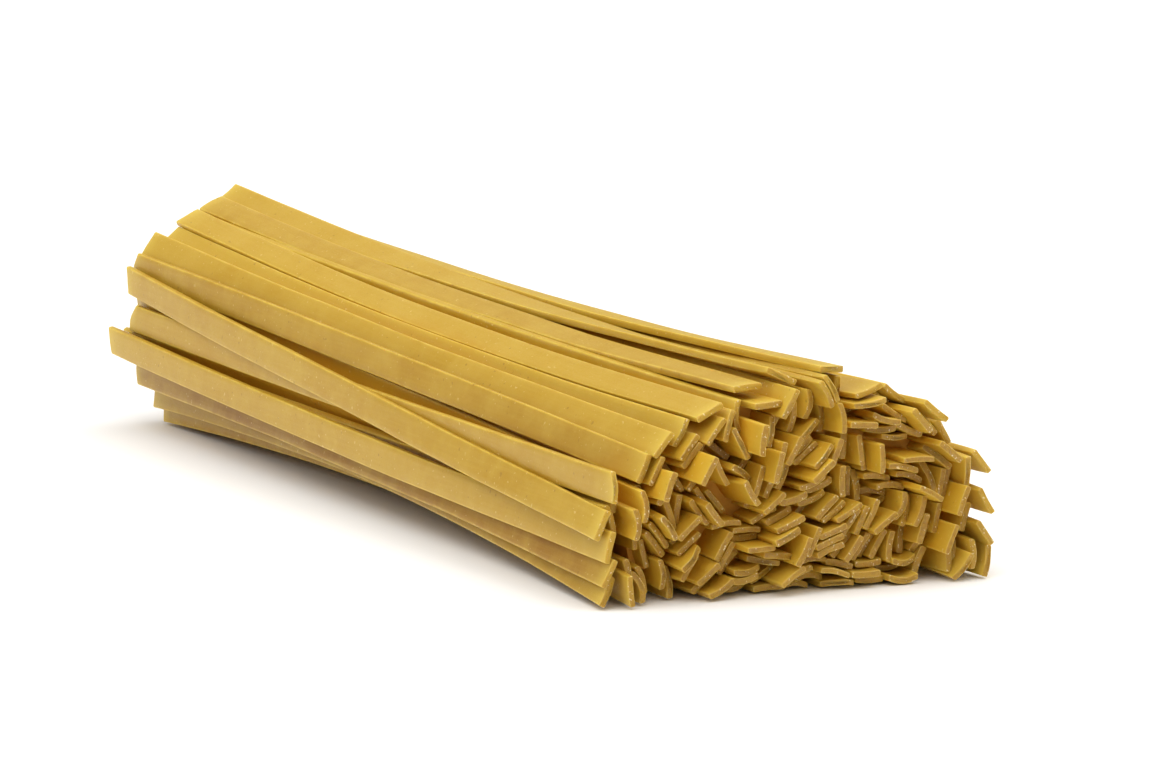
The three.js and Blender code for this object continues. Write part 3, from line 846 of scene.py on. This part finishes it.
def dough_material(name, deep, body, pale, rim):
    """Dried durum dough, extruded: amber, waxy and a little translucent, so light goes a little way
    into it. A glow by its cut tips is painted into its colour, its paler long edges are partly a
    painted highlight, and painted shade and glow make it amber between the strands and darker low in
    the bundle. Fine lines run along it where the die drew it out."""
    material, tree, shader = new_material(name)
    where = add(tree, "ShaderNodeTexCoord").outputs["Object"]
    drawn = add(
        tree, "ShaderNodeMapping",
        {"Vector": where, "Scale": (per(DIE_LINE_RUN), per(DIE_LINE), per(DIE_LINE))},
    )
    tone_and_low_shade, depth, behind, tip = [
        add(tree, "ShaderNodeAttribute", attribute_name=name).outputs["Fac"]
        for name in ("tone_and_low_shade", "depth", "behind", "tip")
    ]
    marks = add(tree, "ShaderNodeAttribute", attribute_name="across_up_rim").outputs["Vector"]
    marks = add(tree, "ShaderNodeVectorMath", {"Vector": marks}, operation="ABSOLUTE")
    marks = add(tree, "ShaderNodeSeparateXYZ", {"Vector": marks}).outputs
    clouds, blotches, flour, bran, grain = [
        add(
            tree, "ShaderNodeTexNoise",
            {"Vector": where, "Scale": per(size), "Detail": detail, "Roughness": 0.6},
        )
        for size, detail in (
            (CLOUD, 3.0), (BLOTCH, 2.0), (FLOUR_SPECK, 0.0), (BRAN_SPECK, 0.0), (GRAIN, 3.0),
        )
    ]
    streaks = add(
        tree, "ShaderNodeTexNoise",
        {"Vector": drawn, "Scale": 1.0, "Detail": 3.0, "Roughness": 0.55},
    )
    # the paler long edges, near both a side and a broad face: partly a frosty dry edge, partly a
    # painted highlight on the rounded edge
    near_side = add(
        tree, "ShaderNodeMapRange", {"Value": marks["X"], "From Min": 0.84, "From Max": 0.95}
    )
    near_face = add(
        tree, "ShaderNodeMapRange", {"Value": marks["Y"], "From Min": 0.45, "From Max": 0.85}
    )
    edge = add(
        tree, "ShaderNodeMath", {"Value": near_side, "Value_001": near_face}, operation="MINIMUM"
    )
    # the pale edges, frosty edge and painted highlight alike, vary in patches
    worn = add(
        tree, "ShaderNodeMapRange",
        {"Value": blotches, "From Min": 0.3, "From Max": 0.65, "To Min": 0.3, "To Max": 1.0},
    )
    edge = add(tree, "ShaderNodeMath", {"Value": edge, "Value_001": worn}, operation="MULTIPLY")

    # a strand's own tone, drawn at random and darker with painted shade low in the bundle, and the
    # amber painted between strands: a painted glow by their cuts, painted shade farther behind them
    base, shaded = [
        add(
            tree, "ShaderNodeMix", {"Factor_Float": part, "A_Color": colour(a), "B_Color": colour(b)},
            data_type="RGBA",
        )
        for part, a, b in ((tone_and_low_shade, deep, body), (behind, PAINTED_GLOW_COLOUR, PAINTED_SHADE_COLOUR))
    ]
    base = lay_over(tree, base, (
        (clouds, 0.38, 0.72, 0.35, colour(pale)),
        (blotches, 0.45, 0.75, 0.3, colour(pale)),
        (streaks, 0.42, 0.75, 0.2, colour(pale)),
        # painted amber shade and glow between the strands
        (depth, 0.0, 1.0, 0.9, shaded),
        # painted glow by the cut tips
        (tip, 0.0, 1.0, 0.6, colour(rim)),
        # paler long edges, partly a painted highlight
        (edge, 0.0, 1.0, 0.6, colour(rim)),
        (flour, 0.78, 0.83, 0.35, colour(FLOUR_COLOUR)),
        (bran, 0.81, 0.84, 0.4, colour(BRAN_COLOUR)),
    ))

    relief = add(tree, "ShaderNodeMath", {"Value": grain, "Value_001": 0.57}, operation="MULTIPLY")
    relief = add(tree, "ShaderNodeMath", {"Value": streaks, "Value_001": relief}, operation="ADD")
    relief = add(
        tree, "ShaderNodeBump",
        {"Height": relief, "Strength": 0.3, "Distance": DIE_LINE_DEPTH * MM},
    )
    waxy = add(
        tree, "ShaderNodeMapRange",
        {"Value": grain, "From Min": 0.3, "From Max": 0.7, "To Min": 0.36, "To Max": 0.52},
    )
    feed(tree, shader.inputs["Base Color"], base)
    feed(tree, shader.inputs["Roughness"], waxy)
    feed(tree, shader.inputs["Normal"], relief)
    let_light_in(shader)
    return material


def cut_material(name, lit, shaded, rim, painted_glint):
    """Dried durum dough, broken across: a grainy break, painted browner with shade deep in the bundle
    and near the floor, smoother on its facets with glints painted on them, and a paler rim on its
    worn edge, partly a frosty edge and partly a painted highlight."""
    material, tree, shader = new_material(name)
    where = add(tree, "ShaderNodeTexCoord").outputs["Object"]
    inside = add(tree, "ShaderNodeAttribute", attribute_name="inside").outputs["Fac"]
    marks = add(tree, "ShaderNodeAttribute", attribute_name="across_up_rim").outputs["Vector"]
    marks = add(tree, "ShaderNodeSeparateXYZ", {"Vector": marks}).outputs
    mottle, facets, grain = [
        add(
            tree, "ShaderNodeTexNoise",
            {"Vector": where, "Scale": per(size), "Detail": detail, "Roughness": 0.6},
        )
        for size, detail in ((BREAK_MOTTLE, 2.0), (BREAK_FACET, 0.0), (GRAIN, 3.0))
    ]
    # painted shade: the break browner deep in the bundle and near the floor
    base = add(
        tree, "ShaderNodeMix",
        {"Factor_Float": inside, "A_Color": colour(lit), "B_Color": colour(shaded)},
        data_type="RGBA",
    )
    base = lay_over(tree, base, (
        (mottle, 0.4, 0.7, 0.5, colour(lit)),
        # a paler rim, partly a frosty edge and partly a painted highlight
        (marks["Z"], 0.0, 0.7, 0.75, colour(rim)),
        # painted glints on the facets, which are also smoother
        (facets, 0.71, 0.79, 0.6, colour(painted_glint)),
    ))
    relief = add(tree, "ShaderNodeMath", {"Value": mottle, "Value_001": grain}, operation="ADD")
    relief = add(
        tree, "ShaderNodeBump", {"Height": relief, "Strength": 0.8, "Distance": BREAK_DEPTH * MM}
    )
    polish = add(
        tree, "ShaderNodeMapRange",
        {"Value": facets, "From Min": 0.4, "From Max": 0.7, "To Min": 0.5, "To Max": 0.22},
    )
    feed(tree, shader.inputs["Base Color"], base)
    feed(tree, shader.inputs["Roughness"], polish)
    feed(tree, shader.inputs["Normal"], relief)
    let_light_in(shader)
    return material


def core_material():
    """Dried durum dough in deep shade, its amber a painted shade: what is seen of the middle through
    the gaps.
    """
    material, tree, shader = new_material("shaded_durum_dough")
    where = add(tree, "ShaderNodeTexCoord").outputs["Object"]
    drawn = add(
        tree, "ShaderNodeMapping",
        {"Vector": where, "Scale": (per(CORE_LINE_RUN), per(CORE_LINE), per(CORE_LINE))},
    )
    lines = add(tree, "ShaderNodeTexNoise", {"Vector": drawn, "Scale": 1.0, "Detail": 3.0})
    base = add(
        tree, "ShaderNodeMix",
        {"Factor_Float": lines, "A_Color": colour("#c4841a"), "B_Color": colour("#dca238")},
        data_type="RGBA",
    )
    feed(tree, shader.inputs["Base Color"], base)
    shader.inputs["Roughness"].default_value = 0.8
    return material


def floor_material():
    """Matt white paper, which takes a soft shadow."""
    material, tree, shader = new_material("white_paper")
    where = add(tree, "ShaderNodeTexCoord").outputs["Object"]
    mottle = add(tree, "ShaderNodeTexNoise", {"Vector": where, "Scale": per(PAPER_MOTTLE)})
    base = add(
        tree, "ShaderNodeMix",
        {"Factor_Float": mottle, "A_Color": colour("#fcfbf9"), "B_Color": colour("#fefefc")},
        data_type="RGBA",
    )
    feed(tree, shader.inputs["Base Color"], base)
    shader.inputs["Roughness"].default_value = 0.7
    shader.inputs["Specular IOR Level"].default_value = 0.25
    return material


# ---- build ------------------------------------------------------------------------------

def add_piece(name, mesh, material=None):
    """A piece at the origin, with its place in its mesh."""
    piece = bpy.data.objects.new(name, mesh)
    bpy.context.scene.collection.objects.link(piece)
    if material:
        mesh.materials.append(material)
    return piece


def build_bundle():
    """The strands, in the place of the model's one solid, over a hidden core."""
    strands = settle(first_strands())
    centre = bundle_centre(strands)
    # the deep tone is also painted shade low in the bundle, the rim colour a painted glow and
    # highlight by tips and edges
    dough = dough_material("dried_durum_dough", "#946208", "#c8a126", "#cdab44", "#e2c554")
    # lit and painted-shade colours of the break, its rim, partly a painted highlight, and its painted
    # glint
    cut_dough = cut_material("broken_durum_dough", "#c09a2e", "#a37a29", "#ceae52", "#f6e8bc")
    bundle = add_piece("fettuccine_strands", strand_mesh(strands, centre, dough, cut_dough))
    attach(bundle, "root")
    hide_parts("pasta_bundle")
    core = add_piece("bundle_core", core_mesh(centre), core_material())
    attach(core, "root")
    return centre


def add_floor():
    """Bare white paper, as far as the picture goes."""
    mesh = bpy.data.meshes.new("floor")
    corners = [(x * FLOOR_HALF, y * FLOOR_HALF, 0) for x, y in ((-1, -1), (1, -1), (1, 1), (-1, 1))]
    mesh.from_pydata(corners, [], [(0, 1, 2, 3)])
    floor = add_piece("floor", mesh, floor_material())


def add_sun(name, towards, strength, softness):
    """A broad, even light that comes from a direction."""
    light = bpy.data.lights.new(name, "SUN")
    light.energy = strength
    light.angle = math.radians(softness)
    lamp = bpy.data.objects.new(name, light)
    lamp.location = Vector(towards)
    lamp.rotation_euler = Vector(towards).to_track_quat("Z", "Y").to_euler()
    bpy.context.scene.collection.objects.link(lamp)


def add_studio():
    """Soft light from all round and above, as in a light tent."""
    world = bpy.data.worlds.new("studio")
    world.use_nodes = True
    background = world.node_tree.nodes["Background"]
    background.inputs["Color"].default_value = colour("#ffffff")
    background.inputs["Strength"].default_value = ROOM_LIGHT
    bpy.context.scene.world = world
    bpy.context.scene.view_settings.view_transform = "Standard"
    for name, towards, strength, softness in LIGHTS:
        add_sun(name, towards, strength, softness)


def add_camera(centre):
    """The camera at the photo's angle, with a long lens."""
    look = Vector(CAMERA_LOOK).normalized()
    right = look.cross(Vector((0, 0, 1))).normalized()
    up = right.cross(look)
    data = bpy.data.cameras.new("camera")
    data.sensor_width = SENSOR
    data.lens = FOCAL_PIXELS / PHOTO_WIDTH * SENSOR
    data.clip_end = 50.0
    camera = bpy.data.objects.new("camera", data)
    turn = Matrix((right, up, -look)).transposed().to_4x4()
    at = Vector((np.array(CAMERA_AT) - centre) * MM)
    camera.matrix_world = Matrix.Translation(at) @ turn
    bpy.context.scene.collection.objects.link(camera)
    bpy.context.scene.camera = camera


centre = build_bundle()
add_floor()
add_studio()
add_camera(centre)
